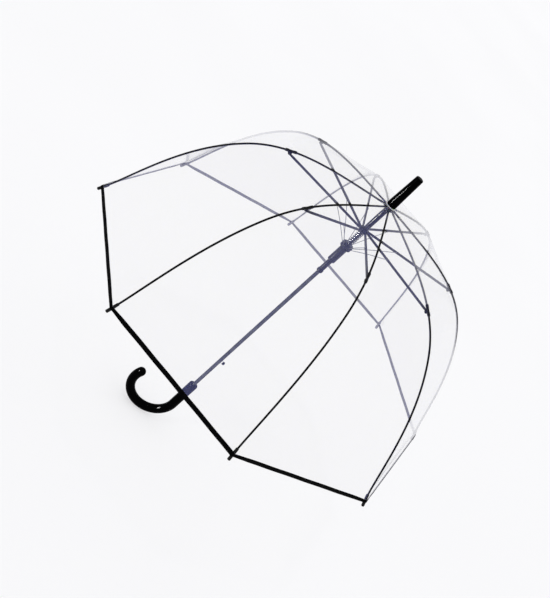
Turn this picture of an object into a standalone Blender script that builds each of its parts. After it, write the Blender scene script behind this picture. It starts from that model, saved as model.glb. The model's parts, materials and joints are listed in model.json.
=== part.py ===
"""A clear dome umbrella on a straight steel shaft, standing open with its ferrule up.

Metres, +Z up. The shaft lies on the Z axis, the crook handle hooks towards +X, and its lowest point is at
Z = 0. Eight ribs stand every 45 degrees from +X. Each rib is an inner and an outer half that meet at a knee,
where the real springy rib bends as the umbrella folds. A stretcher on the sliding hub holds each rib out,
and a pull wire on the runner pulls each stretcher in.
"""

import math

import bmesh
import bpy
from mathutils import Matrix, Vector

# ---- Driving dimensions ----
RIBS = 8
RIB_STEP = 2 * math.pi / RIBS
RIM_RADIUS = 0.425            # shaft axis to the hem's corner on a rib
RIM_Z = 0.3886                # height of the hem's corners above the crook's lowest point
CLEARANCE = 0.0003            # gap between neighbouring pieces

# ---- Rib: two cubic arcs, from the notch to the knee and on to the hem ----
NOTCH_PIVOT_R = 0.0085
NOTCH_PIVOT_Z = RIM_Z + 0.842 * RIM_RADIUS
KNEE_R = 0.655 * RIM_RADIUS
KNEE_Z = RIM_Z + 0.630 * RIM_RADIUS
SLOPE_NOTCH = math.radians(9.3)    # downward slope of the rib at the notch, the knee and the hem
SLOPE_KNEE = math.radians(44.5)
SLOPE_HEM = math.radians(63.0)
PULL_NOTCH = 0.243 * RIM_RADIUS    # lengths of the arcs' end tangents
PULL_KNEE_IN = 0.223 * RIM_RADIUS
PULL_KNEE_OUT = 0.288 * RIM_RADIUS
PULL_HEM = 0.149 * RIM_RADIUS
INNER_STEPS = 14              # straight pieces in each half of a rib
OUTER_STEPS = 12
RIB_WIRE_R = 0.0019
RIB_EYE_R = 0.0013            # flattened root that hinges in the notch
RIB_EYE_LENGTH = 0.008
KNEE_GAP = 0.0009             # each half stops this far short of the knee's axis
SLEEVE_R = 0.0022             # crimped sleeve on the rib that carries the stretcher
SLEEVE_HALF = 0.010
STEP_EDGE = 0.0004            # length of the slope where a sleeve or tip begins
TIP_R = 0.0024                # moulded tip on the rib's end
TIP_ABOVE_HEM = 0.014
TIP_BELOW_HEM = 0.013

# ---- Stretchers and pull wires ----
JOINT_R = 0.492 * RIM_RADIUS  # pivot of the stretcher under the rib's sleeve
JOINT_Z = RIM_Z + 0.7265 * RIM_RADIUS
HUB_PIVOT_R = 0.008
HUB_Z = RIM_Z + 0.680 * RIM_RADIUS
STRETCHER_SIDE = 0.0037       # stretchers run beside the ribs by this much
STRETCHER_DEEP = 0.0040
STRETCHER_THICK = 0.0024
WIRE_REACH = 0.0705           # from the hub's pivot to the pull wire's eye, along the stretcher
WIRE_R = 0.0009
WIRE_SIDE = STRETCHER_SIDE - STRETCHER_THICK / 2 - WIRE_R - CLEARANCE
RUNNER_PIVOT_R = 0.011
RUNNER_Z = 0.629              # pull wires' pivots

# ---- Shaft and the pieces on it ----
SHAFT_R = 0.004
SHAFT_BORE_R = 0.0035
SHAFT_BOTTOM = 0.090
SHAFT_TOP = 0.790
BORE_R = SHAFT_R + CLEARANCE
NOTCH_R = 0.0110
NOTCH_FLOOR_R = 0.0066        # depth of the notch's slots
NOTCH_BOTTOM = NOTCH_PIVOT_Z - 0.0047
NOTCH_TOP = NOTCH_PIVOT_Z + 0.0019
HUB_R = 0.0100
HUB_HALF = 0.0040             # half the hub's height
HUB_FLOOR_R = 0.0057
HUB_TUBE_R = 0.0056
WASHER_R = 0.0125
WASHER_BOTTOM = NOTCH_PIVOT_Z + 0.0035
WASHER_TOP = WASHER_BOTTOM + 0.0012
FERRULE_BASE_R = 0.0104
FERRULE_TIP_R = 0.0082
FERRULE_ROUND = 0.0022
FERRULE_BASE = WASHER_TOP + CLEARANCE
FERRULE_TOP = 0.8285
SPRING_R = 0.0063             # coil's centre line
SPRING_WIRE_R = 0.0007
SPRING_TURNS = 7
CATCH_Z = 0.232
CATCH_THICK = 0.0016
SLOT_HALF_WIDTH = 0.0012      # slot in the shaft that the catch stands out of
SLOT_HALF_HEIGHT = 0.0075

# ---- Runner, measured down from its top ----
RUNNER_TOP = RUNNER_Z + 0.0050
COLLAR_R = 0.0126
COLLAR_DEPTH = 0.0104
COLLAR_SLOT_DEPTH = 0.0098
BODY_R = 0.0086
BODY_END = 0.0505
SLIM_R = 0.0056
FLANGE_R = 0.0066
FLANGE_START = 0.0790
RUNNER_LENGTH = 0.0856
CHAMFER = 0.0006              # usual edge of the moulded collars
OVERRUN = 0.0010              # how far a cutter passes a face

# ---- Canopy film ----
FILM_OFF = 0.0029             # film's mid surface outside the rib's centre line
FILM_THICK = 0.0003
FILM_HOLE_R = 0.0065
FILM_SEAM = 0.00025           # half the gap between two panels
FILM_STEPS = 12               # straight pieces in each half of a panel

# ---- Crook handle ----
HANDLE_R = 0.0102
HANDLE_TOP = 0.1417
CROOK_R = 0.0537              # bend radius of the crook's centre line
CROOK_Z = HANDLE_R + CROOK_R
CROOK_SWEEP = math.radians(201)
HANDLE_CHAMFER = 0.0018


# ---- Scene set-up ----
for old in list(bpy.data.objects):
    bpy.data.objects.remove(old)

PARTS = bpy.data.collections.new("dome_umbrella")
CUTTERS = bpy.data.collections.new("cutters")
bpy.context.scene.collection.children.link(PARTS)
bpy.context.scene.collection.children.link(CUTTERS)


def material(name, colour, roughness, metallic=0.0, alpha=1.0):
    """A Principled material."""
    made = bpy.data.materials.new(name)
    made.use_nodes = True
    shader = made.node_tree.nodes["Principled BSDF"]
    shader.inputs["Base Color"].default_value = (*colour, 1.0)
    shader.inputs["Roughness"].default_value = roughness
    shader.inputs["Metallic"].default_value = metallic
    shader.inputs["Alpha"].default_value = alpha
    return made


BLACK_GLOSS = material("gloss_black", (0.006, 0.006, 0.007), 0.15)
BLACK_RIB = material("rib_black", (0.010, 0.010, 0.012), 0.35)
STEEL = material("shaft_steel", (0.55, 0.56, 0.60), 0.28, 1.0)
DARK_STEEL = material("stretcher_steel", (0.16, 0.165, 0.18), 0.35, 1.0)
SPRING_STEEL = material("spring_steel", (0.42, 0.43, 0.46), 0.25, 1.0)
GREY_PLASTIC = material("grey_plastic", (0.22, 0.225, 0.25), 0.4)
CLEAR_PLASTIC = material("clear_plastic", (0.85, 0.87, 0.90), 0.2, 0.0, 0.6)
FILM = material("clear_film", (0.93, 0.95, 0.98), 0.05, 0.0, 0.12)


# ---- Shape helpers ----
def cubic(p0, p1, p2, p3, count):
    """Points along a cubic arc in the (radius, height) plane."""
    points = []
    for i in range(count + 1):
        t = i / count
        u = 1 - t
        points.append(p0 * u ** 3 + p1 * 3 * u * u * t + p2 * 3 * u * t * t + p3 * t ** 3)
    return points


def downhill(angle):
    """Unit vector outwards and down at this slope."""
    return Vector((math.cos(angle), -math.sin(angle)))


def along(points, start, stop):
    """The stretch of a polyline between two distances from its beginning."""
    walked = 0.0
    kept = []
    for a, b in zip(points, points[1:]):
        step = (b - a).length
        for target in (start, stop):
            if walked <= target <= walked + step:
                kept.append((target, a.lerp(b, (target - walked) / step)))
        walked += step
        if start < walked < stop:
            kept.append((walked, b))
    kept.sort(key=lambda item: item[0])
    return [p for _, p in kept]


def length_of(points):
    return sum((b - a).length for a, b in zip(points, points[1:]))


def offset(points, distance):
    """The polyline moved outwards, away from the shaft and up, along its normals."""
    moved = []
    for i, p in enumerate(points):
        before = points[max(i - 1, 0)]
        after = points[min(i + 1, len(points) - 1)]
        run = (after - before).normalized()
        moved.append(p + Vector((-run.y, run.x)) * distance)
    return moved


def local(points, pivot):
    """(radius, height) points as 3-D points about a pivot, with X outwards."""
    return [Vector((p.x - pivot.x, 0.0, p.y - pivot.y)) for p in points]


def round_edges(mesh, degrees=40):
    mesh.shade_smooth()
    mesh.set_sharp_from_angle(angle=math.radians(degrees))
    return mesh


def mesh_from(obj):
    """The object's evaluated shape as a mesh with its loose caps welded; the object is removed."""
    graph = bpy.context.evaluated_depsgraph_get()
    mesh = bpy.data.meshes.new_from_object(obj.evaluated_get(graph), depsgraph=graph)
    mesh.transform(obj.matrix_world)
    bpy.data.objects.remove(obj)
    body = bmesh.new()
    body.from_mesh(mesh)
    bmesh.ops.remove_doubles(body, verts=body.verts, dist=1e-6)
    bmesh.ops.recalc_face_normals(body, faces=body.faces)
    body.to_mesh(mesh)
    body.free()
    mesh.materials.clear()
    return mesh


def tube_mesh(name, points, radius, factors=None, resolution=2):
    """A round bar along the points, with a radius factor at each and filled ends."""
    curve = bpy.data.curves.new(name, "CURVE")
    curve.dimensions = "3D"
    curve.bevel_depth = radius
    curve.bevel_resolution = resolution
    curve.use_fill_caps = True
    spline = curve.splines.new("POLY")
    spline.points.add(len(points) - 1)
    for i, point in enumerate(points):
        spline.points[i].co = (*point, 1.0)
        spline.points[i].radius = factors[i] if factors else 1.0
    guide = bpy.data.objects.new(name, curve)
    PARTS.objects.link(guide)
    return round_edges(mesh_from(guide))


def plate_mesh(name, outline, thickness):
    """A flat outline in the XZ plane, with its thickness along Y."""
    curve = bpy.data.curves.new(name, "CURVE")
    curve.dimensions = "2D"
    curve.fill_mode = "BOTH"
    curve.extrude = thickness / 2
    spline = curve.splines.new("POLY")
    spline.points.add(len(outline) - 1)
    for i, (x, z) in enumerate(outline):
        spline.points[i].co = (x, z, 0.0, 1.0)
    spline.use_cyclic_u = True
    guide = bpy.data.objects.new(name, curve)
    PARTS.objects.link(guide)
    mesh = mesh_from(guide)
    mesh.transform(Matrix.Rotation(math.radians(90), 4, "X"))
    return round_edges(mesh)


def place(name, mesh, finish, location=(0, 0, 0), azimuth=0.0):
    """One named piece, with its origin at its joint."""
    piece = bpy.data.objects.new(name, mesh)
    if not mesh.materials:
        mesh.materials.append(finish)
    piece.location = location
    piece.rotation_euler = (0, 0, azimuth)
    PARTS.objects.link(piece)
    return piece


def turned(name, profile, finish, steps=24, location=(0, 0, 0)):
    """A (radius, height) profile turned about Z. It runs down its outer side, and a bored one is closed."""
    bored = min(r for r, _ in profile) > 0
    mesh = bpy.data.meshes.new(name)
    points = [(r, 0.0, z - location[2]) for r, z in profile]
    edges = [(i, i + 1) for i in range(len(points) - 1)]
    if bored:
        edges.append((len(points) - 1, 0))
    mesh.from_pydata(points, edges, [])
    piece = place(name, mesh, finish, location)
    screw = piece.modifiers.new("turn", "SCREW")
    screw.angle = 2 * math.pi
    screw.steps = steps
    screw.render_steps = steps
    screw.use_merge_vertices = True
    screw.merge_threshold = 0.00001
    screw.use_smooth_shade = False
    return piece


def box_cutter(name, boxes):
    """Boxes that don't touch, as one cutter. Each is (low corner, high corner, azimuth)."""
    body = bmesh.new()
    for low, high, azimuth in boxes:
        size = [h - l for l, h in zip(low, high)]
        middle = [(h + l) / 2 for l, h in zip(low, high)]
        shape = Matrix.Translation(middle) @ Matrix.Diagonal((*size, 1.0))
        bmesh.ops.create_cube(body, size=1.0, matrix=Matrix.Rotation(azimuth, 4, "Z") @ shape)
    mesh = bpy.data.meshes.new(name)
    body.to_mesh(mesh)
    body.free()
    cutter = bpy.data.objects.new(name, mesh)
    cutter.hide_render = True
    cutter.display_type = "WIRE"
    CUTTERS.objects.link(cutter)
    return cutter


def cut(piece, cutter):
    """Takes the cutter's shape out of the piece."""
    boolean = piece.modifiers.new("cut", "BOOLEAN")
    boolean.operation = "DIFFERENCE"
    boolean.solver = "EXACT"
    boolean.object = cutter


def slots(piece, inner, outer, side, width, low, high):
    """Eight slots through a collar, each lying beside its rib's plane."""
    boxes = []
    for k in range(RIBS):
        corner_low = (inner, side - width / 2, low)
        corner_high = (outer, side + width / 2, high)
        boxes.append((corner_low, corner_high, k * RIB_STEP))
    cut(piece, box_cutter(piece.name + "_slots", boxes))


# ---- Rib line ----
NOTCH = Vector((NOTCH_PIVOT_R, NOTCH_PIVOT_Z))
KNEE = Vector((KNEE_R, KNEE_Z))
HEM = Vector((RIM_RADIUS, RIM_Z))
JOINT = Vector((JOINT_R, JOINT_Z))
HUB = Vector((HUB_PIVOT_R, HUB_Z))
RUNNER = Vector((RUNNER_PIVOT_R, RUNNER_Z))


def inner_line(count):
    bend_out = NOTCH + PULL_NOTCH * downhill(SLOPE_NOTCH)
    bend_in = KNEE - PULL_KNEE_IN * downhill(SLOPE_KNEE)
    return cubic(NOTCH, bend_out, bend_in, KNEE, count)


def outer_line(count):
    bend_out = KNEE + PULL_KNEE_OUT * downhill(SLOPE_KNEE)
    bend_in = HEM - PULL_HEM * downhill(SLOPE_HEM)
    return cubic(KNEE, bend_out, bend_in, HEM, count)


def nearest_distance(points, target):
    """How far along the polyline its closest vertex to the target lies."""
    walked = 0.0
    best = (math.inf, 0.0)
    for a, b in zip(points, points[1:]):
        walked += (b - a).length
        best = min(best, ((b - target).length, walked))
    return best[1]


def stepped(points, bands, radius):
    """Points and radius factors of a bar with bands of another radius, each (start, stop, radius)."""
    total = length_of(points)
    marks = [0.0, total]
    for start, stop, _ in bands:
        marks += [max(start, 0.0), start + STEP_EDGE, stop - STEP_EDGE, stop]
    walked = 0.0
    for a, b in zip(points, points[1:]):
        walked += (b - a).length
        clear = [not start - STEP_EDGE < walked < stop + STEP_EDGE for start, stop, _ in bands]
        if walked < total and all(clear):
            marks.append(walked)
    line = []
    factors = []
    for mark in sorted(set(marks)):
        line.append(along(points, mark, mark)[0])
        factor = 1.0
        for start, stop, band_radius in bands:
            inside = start + STEP_EDGE / 2 < mark < stop - STEP_EDGE / 2
            if inside or mark == stop == total:
                factor = band_radius / radius
        factors.append(factor)
    return line, factors


# ---- Ribs ----
def make_ribs():
    line = inner_line(INNER_STEPS)
    joint_at = nearest_distance(inner_line(INNER_STEPS * INNER_STEPS), JOINT)
    short = along(line, 0.0, length_of(line) - KNEE_GAP)
    eye = (-STEP_EDGE, RIB_EYE_LENGTH, RIB_EYE_R)
    sleeve = (joint_at - SLEEVE_HALF, joint_at + SLEEVE_HALF, SLEEVE_R)
    points, factors = stepped(short, [eye, sleeve], RIB_WIRE_R)
    inner = tube_mesh("rib_inner", local(points, NOTCH), RIB_WIRE_R, factors)

    end = HEM + TIP_BELOW_HEM * downhill(SLOPE_HEM)
    line = outer_line(OUTER_STEPS)
    hem_at = length_of(line)
    short = along(line + [end], KNEE_GAP, hem_at + TIP_BELOW_HEM)
    total = length_of(short)
    tip = (total - TIP_ABOVE_HEM - TIP_BELOW_HEM, total, TIP_R)
    points, factors = stepped(short, [tip], RIB_WIRE_R)
    outer = tube_mesh("rib_outer", local(points, KNEE), RIB_WIRE_R, factors)

    for k in range(RIBS):
        azimuth = k * RIB_STEP
        turn = Matrix.Rotation(azimuth, 3, "Z")
        place(f"rib_inner_{k + 1}", inner, BLACK_RIB, turn @ Vector((NOTCH.x, 0, NOTCH.y)), azimuth)
        place(f"rib_outer_{k + 1}", outer, BLACK_RIB, turn @ Vector((KNEE.x, 0, KNEE.y)), azimuth)


# ---- Stretchers: flat bars with round ends, beside the ribs ----
def bar_outline(start, end, half):
    """A bar with round ends in the (radius, height) plane."""
    run = (end - start).normalized()
    side = Vector((-run.y, run.x))
    outline = []
    for centre, facing in ((end, run), (start, -run)):
        cross = side if facing == run else -side
        for i in range(7):
            swing = math.radians(-90 + 30 * i)
            outline.append(centre + half * (math.cos(swing) * facing + math.sin(swing) * cross))
    return outline


def make_stretchers():
    outline = bar_outline(Vector((0.0, 0.0)), JOINT - HUB, STRETCHER_DEEP / 2)
    bar = plate_mesh("stretcher", outline, STRETCHER_THICK)
    reach = (JOINT - HUB).normalized() * WIRE_REACH
    eye = HUB + reach - RUNNER
    wire = tube_mesh("pull_wire", local([Vector((0, 0)), eye], Vector((0, 0))), WIRE_R, None, 1)
    for k in range(RIBS):
        azimuth = k * RIB_STEP
        turn = Matrix.Rotation(azimuth, 3, "Z")
        hub_point = turn @ Vector((HUB.x, STRETCHER_SIDE, HUB.y))
        runner_point = turn @ Vector((RUNNER.x, WIRE_SIDE, RUNNER.y))
        place(f"stretcher_{k + 1}", bar, DARK_STEEL, hub_point, azimuth)
        place(f"pull_wire_{k + 1}", wire, SPRING_STEEL, runner_point, azimuth)


# ---- Canopy film: eight panels, each flat from rib to rib and folded at the knee ----
def film_mesh(name, line, pivot):
    """A strip between two ribs along the film's (radius, height) line, about its middle's hinge."""
    half_angle = RIB_STEP / 2
    points = []
    for p in line:
        x = p.x * math.cos(half_angle) - pivot.x
        half = p.x * math.sin(half_angle) - FILM_SEAM
        points.append((x, -half, p.y - pivot.y))
        points.append((x, half, p.y - pivot.y))
    faces = []
    for i in range(len(line) - 1):
        faces.append((2 * i, 2 * i + 2, 2 * i + 3, 2 * i + 1))
    mesh = bpy.data.meshes.new(name)
    mesh.from_pydata(points, [], faces)
    return mesh


def make_film():
    whole = offset(inner_line(FILM_STEPS) + outer_line(FILM_STEPS)[1:], FILM_OFF)
    knee_film = whole[FILM_STEPS]
    crown = [Vector((FILM_HOLE_R, NOTCH.y + FILM_OFF))] + whole[:FILM_STEPS + 1]
    skirt = whole[FILM_STEPS:]
    upper = along(crown, 0.0, length_of(crown) - FILM_SEAM)
    lower = along(skirt, FILM_SEAM, length_of(skirt))
    shrink = math.cos(RIB_STEP / 2)
    hinge_top = Vector((NOTCH.x * shrink, NOTCH.y + FILM_OFF))
    hinge_knee = Vector((knee_film.x * shrink, knee_film.y))
    upper_mesh = film_mesh("film_inner", upper, hinge_top)
    lower_mesh = film_mesh("film_outer", lower, hinge_knee)
    for k in range(RIBS):
        azimuth = (k + 0.5) * RIB_STEP
        turn = Matrix.Rotation(azimuth, 3, "Z")
        for name, mesh, hinge in (
            ("film_inner", upper_mesh, hinge_top),
            ("film_outer", lower_mesh, hinge_knee),
        ):
            piece = place(f"{name}_{k + 1}", mesh, FILM, turn @ Vector((hinge.x, 0, hinge.y)), azimuth)
            shell = piece.modifiers.new("thickness", "SOLIDIFY")
            shell.thickness = FILM_THICK
            shell.offset = 0.0
            shell.use_even_offset = True


# ---- Pieces on the shaft ----
def ring(outer, low, high, chamfer=CHAMFER, bore=BORE_R):
    """Closed profile of a bored ring with chamfered outer edges."""
    return [
        (outer - chamfer, high),
        (outer, high - chamfer),
        (outer, low + chamfer),
        (outer - chamfer, low),
        (bore, low),
        (bore, high),
    ]


def make_shaft():
    profile = [
        (SHAFT_R, SHAFT_TOP),
        (SHAFT_R, SHAFT_BOTTOM),
        (SHAFT_BORE_R, SHAFT_BOTTOM),
        (SHAFT_BORE_R, SHAFT_TOP),
    ]
    shaft = turned("shaft", profile, STEEL, 20)
    slot_low = (-SHAFT_R - 2 * OVERRUN, -SLOT_HALF_WIDTH, CATCH_Z - SLOT_HALF_HEIGHT)
    slot_high = (-OVERRUN, SLOT_HALF_WIDTH, CATCH_Z + SLOT_HALF_HEIGHT)
    cut(shaft, box_cutter("shaft_slot", [(slot_low, slot_high, 0.0)]))


def make_catch():
    """A sprung tab that stands out of the shaft on the side away from the hook."""
    outline = [(-0.0022, -0.0060), (-0.0060, -0.0052), (-0.0118, -0.0030), (-0.0126, -0.0018)]
    outline += [(-0.0126, 0.0016), (-0.0118, 0.0026), (-0.0060, 0.0052), (-0.0022, 0.0060)]
    place("lower_catch", plate_mesh("lower_catch", outline, CATCH_THICK), GREY_PLASTIC, (0, 0, CATCH_Z))


def make_ferrule():
    """Long tapered cap with a rounded flat end, bored blind for the shaft."""
    profile = [(0.0, FERRULE_TOP)]
    for i in range(5):
        swing = math.radians(90 - 22.5 * i)
        r = FERRULE_TIP_R + FERRULE_ROUND * (math.cos(swing) - 1)
        profile.append((r, FERRULE_TOP + FERRULE_ROUND * (math.sin(swing) - 1)))
    profile.append((FERRULE_BASE_R, FERRULE_BASE + CHAMFER))
    profile.append((FERRULE_BASE_R - CHAMFER, FERRULE_BASE))
    profile.append((BORE_R, FERRULE_BASE))
    profile += [(BORE_R, SHAFT_TOP + CLEARANCE), (0.0, SHAFT_TOP + CLEARANCE)]
    turned("ferrule", profile, BLACK_GLOSS, 24)


def make_washer():
    """Thin rosette between the film and the ferrule."""
    turned("ferrule_washer", ring(WASHER_R, WASHER_BOTTOM, WASHER_TOP, CHAMFER / 2), CLEAR_PLASTIC, 24)


def make_notch():
    """Slotted collar that the ribs hinge in."""
    notch = turned("top_notch", ring(NOTCH_R, NOTCH_BOTTOM, NOTCH_TOP), GREY_PLASTIC, 24)
    width = 2 * RIB_EYE_R + 2 * CLEARANCE
    outer = NOTCH_R + 2 * OVERRUN
    slots(notch, NOTCH_FLOOR_R, outer, 0.0, width, NOTCH_BOTTOM - OVERRUN, NOTCH_TOP + OVERRUN)


def make_hub():
    """Slotted collar that the stretchers hinge in, and the tube above it that stops it at the notch."""
    low = HUB_Z - HUB_HALF
    high = HUB_Z + HUB_HALF
    hub = turned("middle_hub", ring(HUB_R, low, high), GREY_PLASTIC, 24)
    width = STRETCHER_THICK + 2 * CLEARANCE
    slots(hub, HUB_FLOOR_R, HUB_R + 2 * OVERRUN, STRETCHER_SIDE, width, low - OVERRUN, high + OVERRUN)
    tube_low = high + CLEARANCE
    tube_high = NOTCH_BOTTOM - CLEARANCE
    turned("hub_tube", ring(HUB_TUBE_R, tube_low, tube_high, CHAMFER / 2), GREY_PLASTIC, 20)


def make_spring():
    """Compression spring between the hub and the runner."""
    around = 10
    low = RUNNER_TOP + CLEARANCE + SPRING_WIRE_R
    high = HUB_Z - HUB_HALF - CLEARANCE - SPRING_WIRE_R
    count = SPRING_TURNS * around
    points = []
    for i in range(count + 1):
        angle = 2 * math.pi * i / around
        z = low + (high - low) * i / count
        points.append(Vector((SPRING_R * math.cos(angle), SPRING_R * math.sin(angle), z)))
    place("opening_spring", tube_mesh("opening_spring", points, SPRING_WIRE_R, None, 1), SPRING_STEEL)


def make_runner():
    """Sliding runner: slotted collar for the pull wires, stout body, slim sleeve and end flange."""
    top = RUNNER_TOP
    profile = [
        (COLLAR_R - CHAMFER, top),
        (COLLAR_R, top - CHAMFER),
        (COLLAR_R, top - COLLAR_DEPTH + CHAMFER),
        (COLLAR_R - CHAMFER, top - COLLAR_DEPTH),
        (BODY_R, top - COLLAR_DEPTH - CHAMFER),
        (BODY_R, top - BODY_END + CHAMFER),
        (BODY_R - CHAMFER, top - BODY_END),
        (SLIM_R, top - BODY_END - 2 * CHAMFER),
        (SLIM_R, top - FLANGE_START),
        (FLANGE_R, top - FLANGE_START - CHAMFER),
        (FLANGE_R, top - RUNNER_LENGTH + CHAMFER),
        (FLANGE_R - CHAMFER, top - RUNNER_LENGTH),
        (BORE_R, top - RUNNER_LENGTH),
        (BORE_R, top),
    ]
    runner = turned("runner", profile, GREY_PLASTIC, 24)
    width = 2 * WIRE_R + 2 * CLEARANCE
    floor = RUNNER_PIVOT_R - WIRE_R - 2 * CLEARANCE
    slots(runner, floor, COLLAR_R + 2 * OVERRUN, WIRE_SIDE, width, top - COLLAR_SLOT_DEPTH, top + OVERRUN)


def make_handle():
    """J crook with a chamfered top, a round free end and a blind bore for the shaft."""
    top_z = HANDLE_TOP
    points = [Vector((0, 0, top_z)), Vector((0, 0, top_z - HANDLE_CHAMFER))]
    factors = [1 - HANDLE_CHAMFER / HANDLE_R, 1.0]
    steps = 22
    for i in range(steps + 1):
        swing = CROOK_SWEEP * i / steps
        x = CROOK_R - CROOK_R * math.cos(swing)
        points.append(Vector((x, 0, CROOK_Z - CROOK_R * math.sin(swing))))
        factors.append(1.0)
    last = points[-1]
    run = (last - points[-2]).normalized()
    for i in range(1, 5):
        swing = math.radians(20 * i)
        points.append(last + run * HANDLE_R * math.sin(swing))
        factors.append(math.cos(swing))
    handle = place("handle", tube_mesh("handle", points, HANDLE_R, factors, 6), BLACK_GLOSS)
    low = SHAFT_BOTTOM - CLEARANCE
    high = HANDLE_TOP + OVERRUN
    body = bmesh.new()
    middle = Matrix.Translation((0, 0, (low + high) / 2))
    bmesh.ops.create_cone(
        body, cap_ends=True, segments=20, radius1=BORE_R, radius2=BORE_R, depth=high - low, matrix=middle
    )
    mesh = bpy.data.meshes.new("handle_bore")
    body.to_mesh(mesh)
    body.free()
    bore = bpy.data.objects.new("handle_bore", mesh)
    bore.hide_render = True
    bore.display_type = "WIRE"
    CUTTERS.objects.link(bore)
    cut(handle, bore)


def main():
    make_shaft()
    make_catch()
    make_ferrule()
    make_washer()
    make_notch()
    make_hub()
    make_spring()
    make_runner()
    make_handle()
    make_ribs()
    make_stretchers()
    make_film()


main()
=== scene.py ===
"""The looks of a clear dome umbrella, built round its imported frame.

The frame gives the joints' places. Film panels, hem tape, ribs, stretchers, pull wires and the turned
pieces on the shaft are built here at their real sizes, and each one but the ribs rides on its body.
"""

import json
import math

import bmesh
import bpy
from mathutils import Matrix, Vector, noise


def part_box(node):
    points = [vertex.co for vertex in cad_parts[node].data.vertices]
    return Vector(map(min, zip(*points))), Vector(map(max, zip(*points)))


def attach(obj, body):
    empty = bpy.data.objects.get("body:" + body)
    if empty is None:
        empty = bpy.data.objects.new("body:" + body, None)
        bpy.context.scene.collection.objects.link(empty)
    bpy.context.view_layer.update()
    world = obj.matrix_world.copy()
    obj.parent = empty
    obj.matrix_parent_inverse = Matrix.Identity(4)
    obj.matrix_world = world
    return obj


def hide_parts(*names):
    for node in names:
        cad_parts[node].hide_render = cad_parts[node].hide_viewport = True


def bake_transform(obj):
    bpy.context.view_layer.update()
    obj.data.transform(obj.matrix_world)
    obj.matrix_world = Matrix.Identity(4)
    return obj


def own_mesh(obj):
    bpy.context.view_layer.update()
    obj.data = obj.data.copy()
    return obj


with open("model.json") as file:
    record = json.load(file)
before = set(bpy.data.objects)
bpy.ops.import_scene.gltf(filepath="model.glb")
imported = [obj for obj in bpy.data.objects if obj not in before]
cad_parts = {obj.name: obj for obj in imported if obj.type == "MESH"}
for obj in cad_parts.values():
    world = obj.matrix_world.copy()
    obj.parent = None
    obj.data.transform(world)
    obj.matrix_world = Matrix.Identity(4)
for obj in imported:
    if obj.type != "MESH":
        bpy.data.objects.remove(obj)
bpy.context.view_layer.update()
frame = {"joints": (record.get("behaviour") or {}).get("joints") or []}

RIBS = 8
RIB_STEP = 2 * math.pi / RIBS
HALF_STEP = RIB_STEP / 2
JOINTS = {joint["name"]: joint for joint in frame["joints"]}


def flat_place(joint):
    """The place of one of rib 1's joints as (radius, height)."""
    x, _, z = JOINTS[joint]["pos_m"]
    return Vector((x, z))


# ---- Places taken from the frame ----
NOTCH = flat_place("rib_hinge_1")
KNEE = flat_place("rib_knee_1")
HUB = flat_place("stretcher_hinge_1")
RUNNER = flat_place("pull_wire_hinge_1")
STRETCHER_SIDE = JOINTS["stretcher_hinge_1"]["pos_m"][1]
WIRE_SIDE = JOINTS["pull_wire_hinge_1"]["pos_m"][1]
RIM_RADIUS = 0.425          # the ribs' centre line meets the hem here
RIM_Z = 0.3886
HEM = Vector((RIM_RADIUS, RIM_Z))
JOINT = Vector((0.492 * RIM_RADIUS, RIM_Z + 0.7265 * RIM_RADIUS))   # a stretcher's pivot on its rib
WIRE_REACH = 0.0705         # from a stretcher's inner pivot to its pull wire's eye
BORE = 0.0043               # radius of every bore round the shaft
PIN_R = 0.0010              # radius of a stretcher's pins

# ---- Rib line: the same two cubic arcs as the frame's ribs ----
SLOPE_NOTCH = math.radians(9.3)
SLOPE_KNEE = math.radians(44.5)
SLOPE_HEM = math.radians(63.0)
PULL_NOTCH = 0.243 * RIM_RADIUS
PULL_KNEE_IN = 0.223 * RIM_RADIUS
PULL_KNEE_OUT = 0.288 * RIM_RADIUS
PULL_HEM = 0.149 * RIM_RADIUS
RIB_WIRE_R = 0.0019
TIP_R = 0.0032
TIP_ABOVE_HEM = 0.0140
TIP_BELOW_HEM = 0.0128
SLEEVE_R = 0.0030
SLEEVE_HALF = 0.0115

# ---- Film ----
FILM_OFF = 0.0024           # over the bare rib
SLEEVE_LIFT = 0.0010        # more over the sleeves
TIP_LIFT = 0.0013           # and over the tips
FILM_START_R = NOTCH.x      # it begins at its hinge, so that nothing swings up as it folds
SEAM_WIDE = 0.0036          # the film lies tight on the rib this far to each side
SEAM_FADE = 0.0062          # the next two columns of the sheet beside the seam
SEAM_LIMIT = 0.0105
PANEL_COLUMNS = 24          # between those columns
CONTACT = (                 # it touches each rib between these two radii, over this many columns
    (0.045, 1.0, 2), (0.045, 1.0, 2), (0.040, 1.0, 2), (0.200, 1.0, 2),
    (0.090, 0.300, 3), (1.0, 1.0, 2), (1.0, 1.0, 2), (1.0, 1.0, 2),
)
INNER_PAINTED_HAZE = (5, 6, 7)    # indices of the ribs that get painted haze on their inner side: grey standing for light the film scatters over it
TOP_PAINTED_HAZE = (3,)           # and of the one that gets the painted haze above its joint
CLEAR_SPOT = 0.040          # clearer film round each stretcher's joint

# ---- Hem tape ----
TAPE_WIDE = 0.0091
TAPE_NARROW = 0.0062
TAPE_THICK = 0.0011
TAPE_SLOPES = (87, 76, 85, 80, 67, 64, 70, 82)     # degrees, one for each span
TAPE_UNTAPERED = (1, 1)     # the span with index 1 keeps its full width at its second tip

CLEAR_TINT = (1.0, 0.995, 0.925)        # the film passes yellow light straight on
SCATTER_TINT = (-0.030, -0.026, 0.050)  # and scatters the blue
SEAM_TINT = (0.985, 0.985, 0.985)       # where it is welded tight it has no haze

# ---- Camera ----
CAMERA_AT = Vector((0.5430, 1.6578, 1.3714))
CAMERA_AIM = Vector((0.0169, -0.0058, 0.4322))
CAMERA_ROLL = math.radians(47.51)
CAMERA_LENS = 58.37

# ---- Crook ----
CROOK_R = 0.0105
CROOK_BEND = 0.0534         # radius of the bend's centre line
CROOK_SWEEP = math.radians(201)


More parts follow.
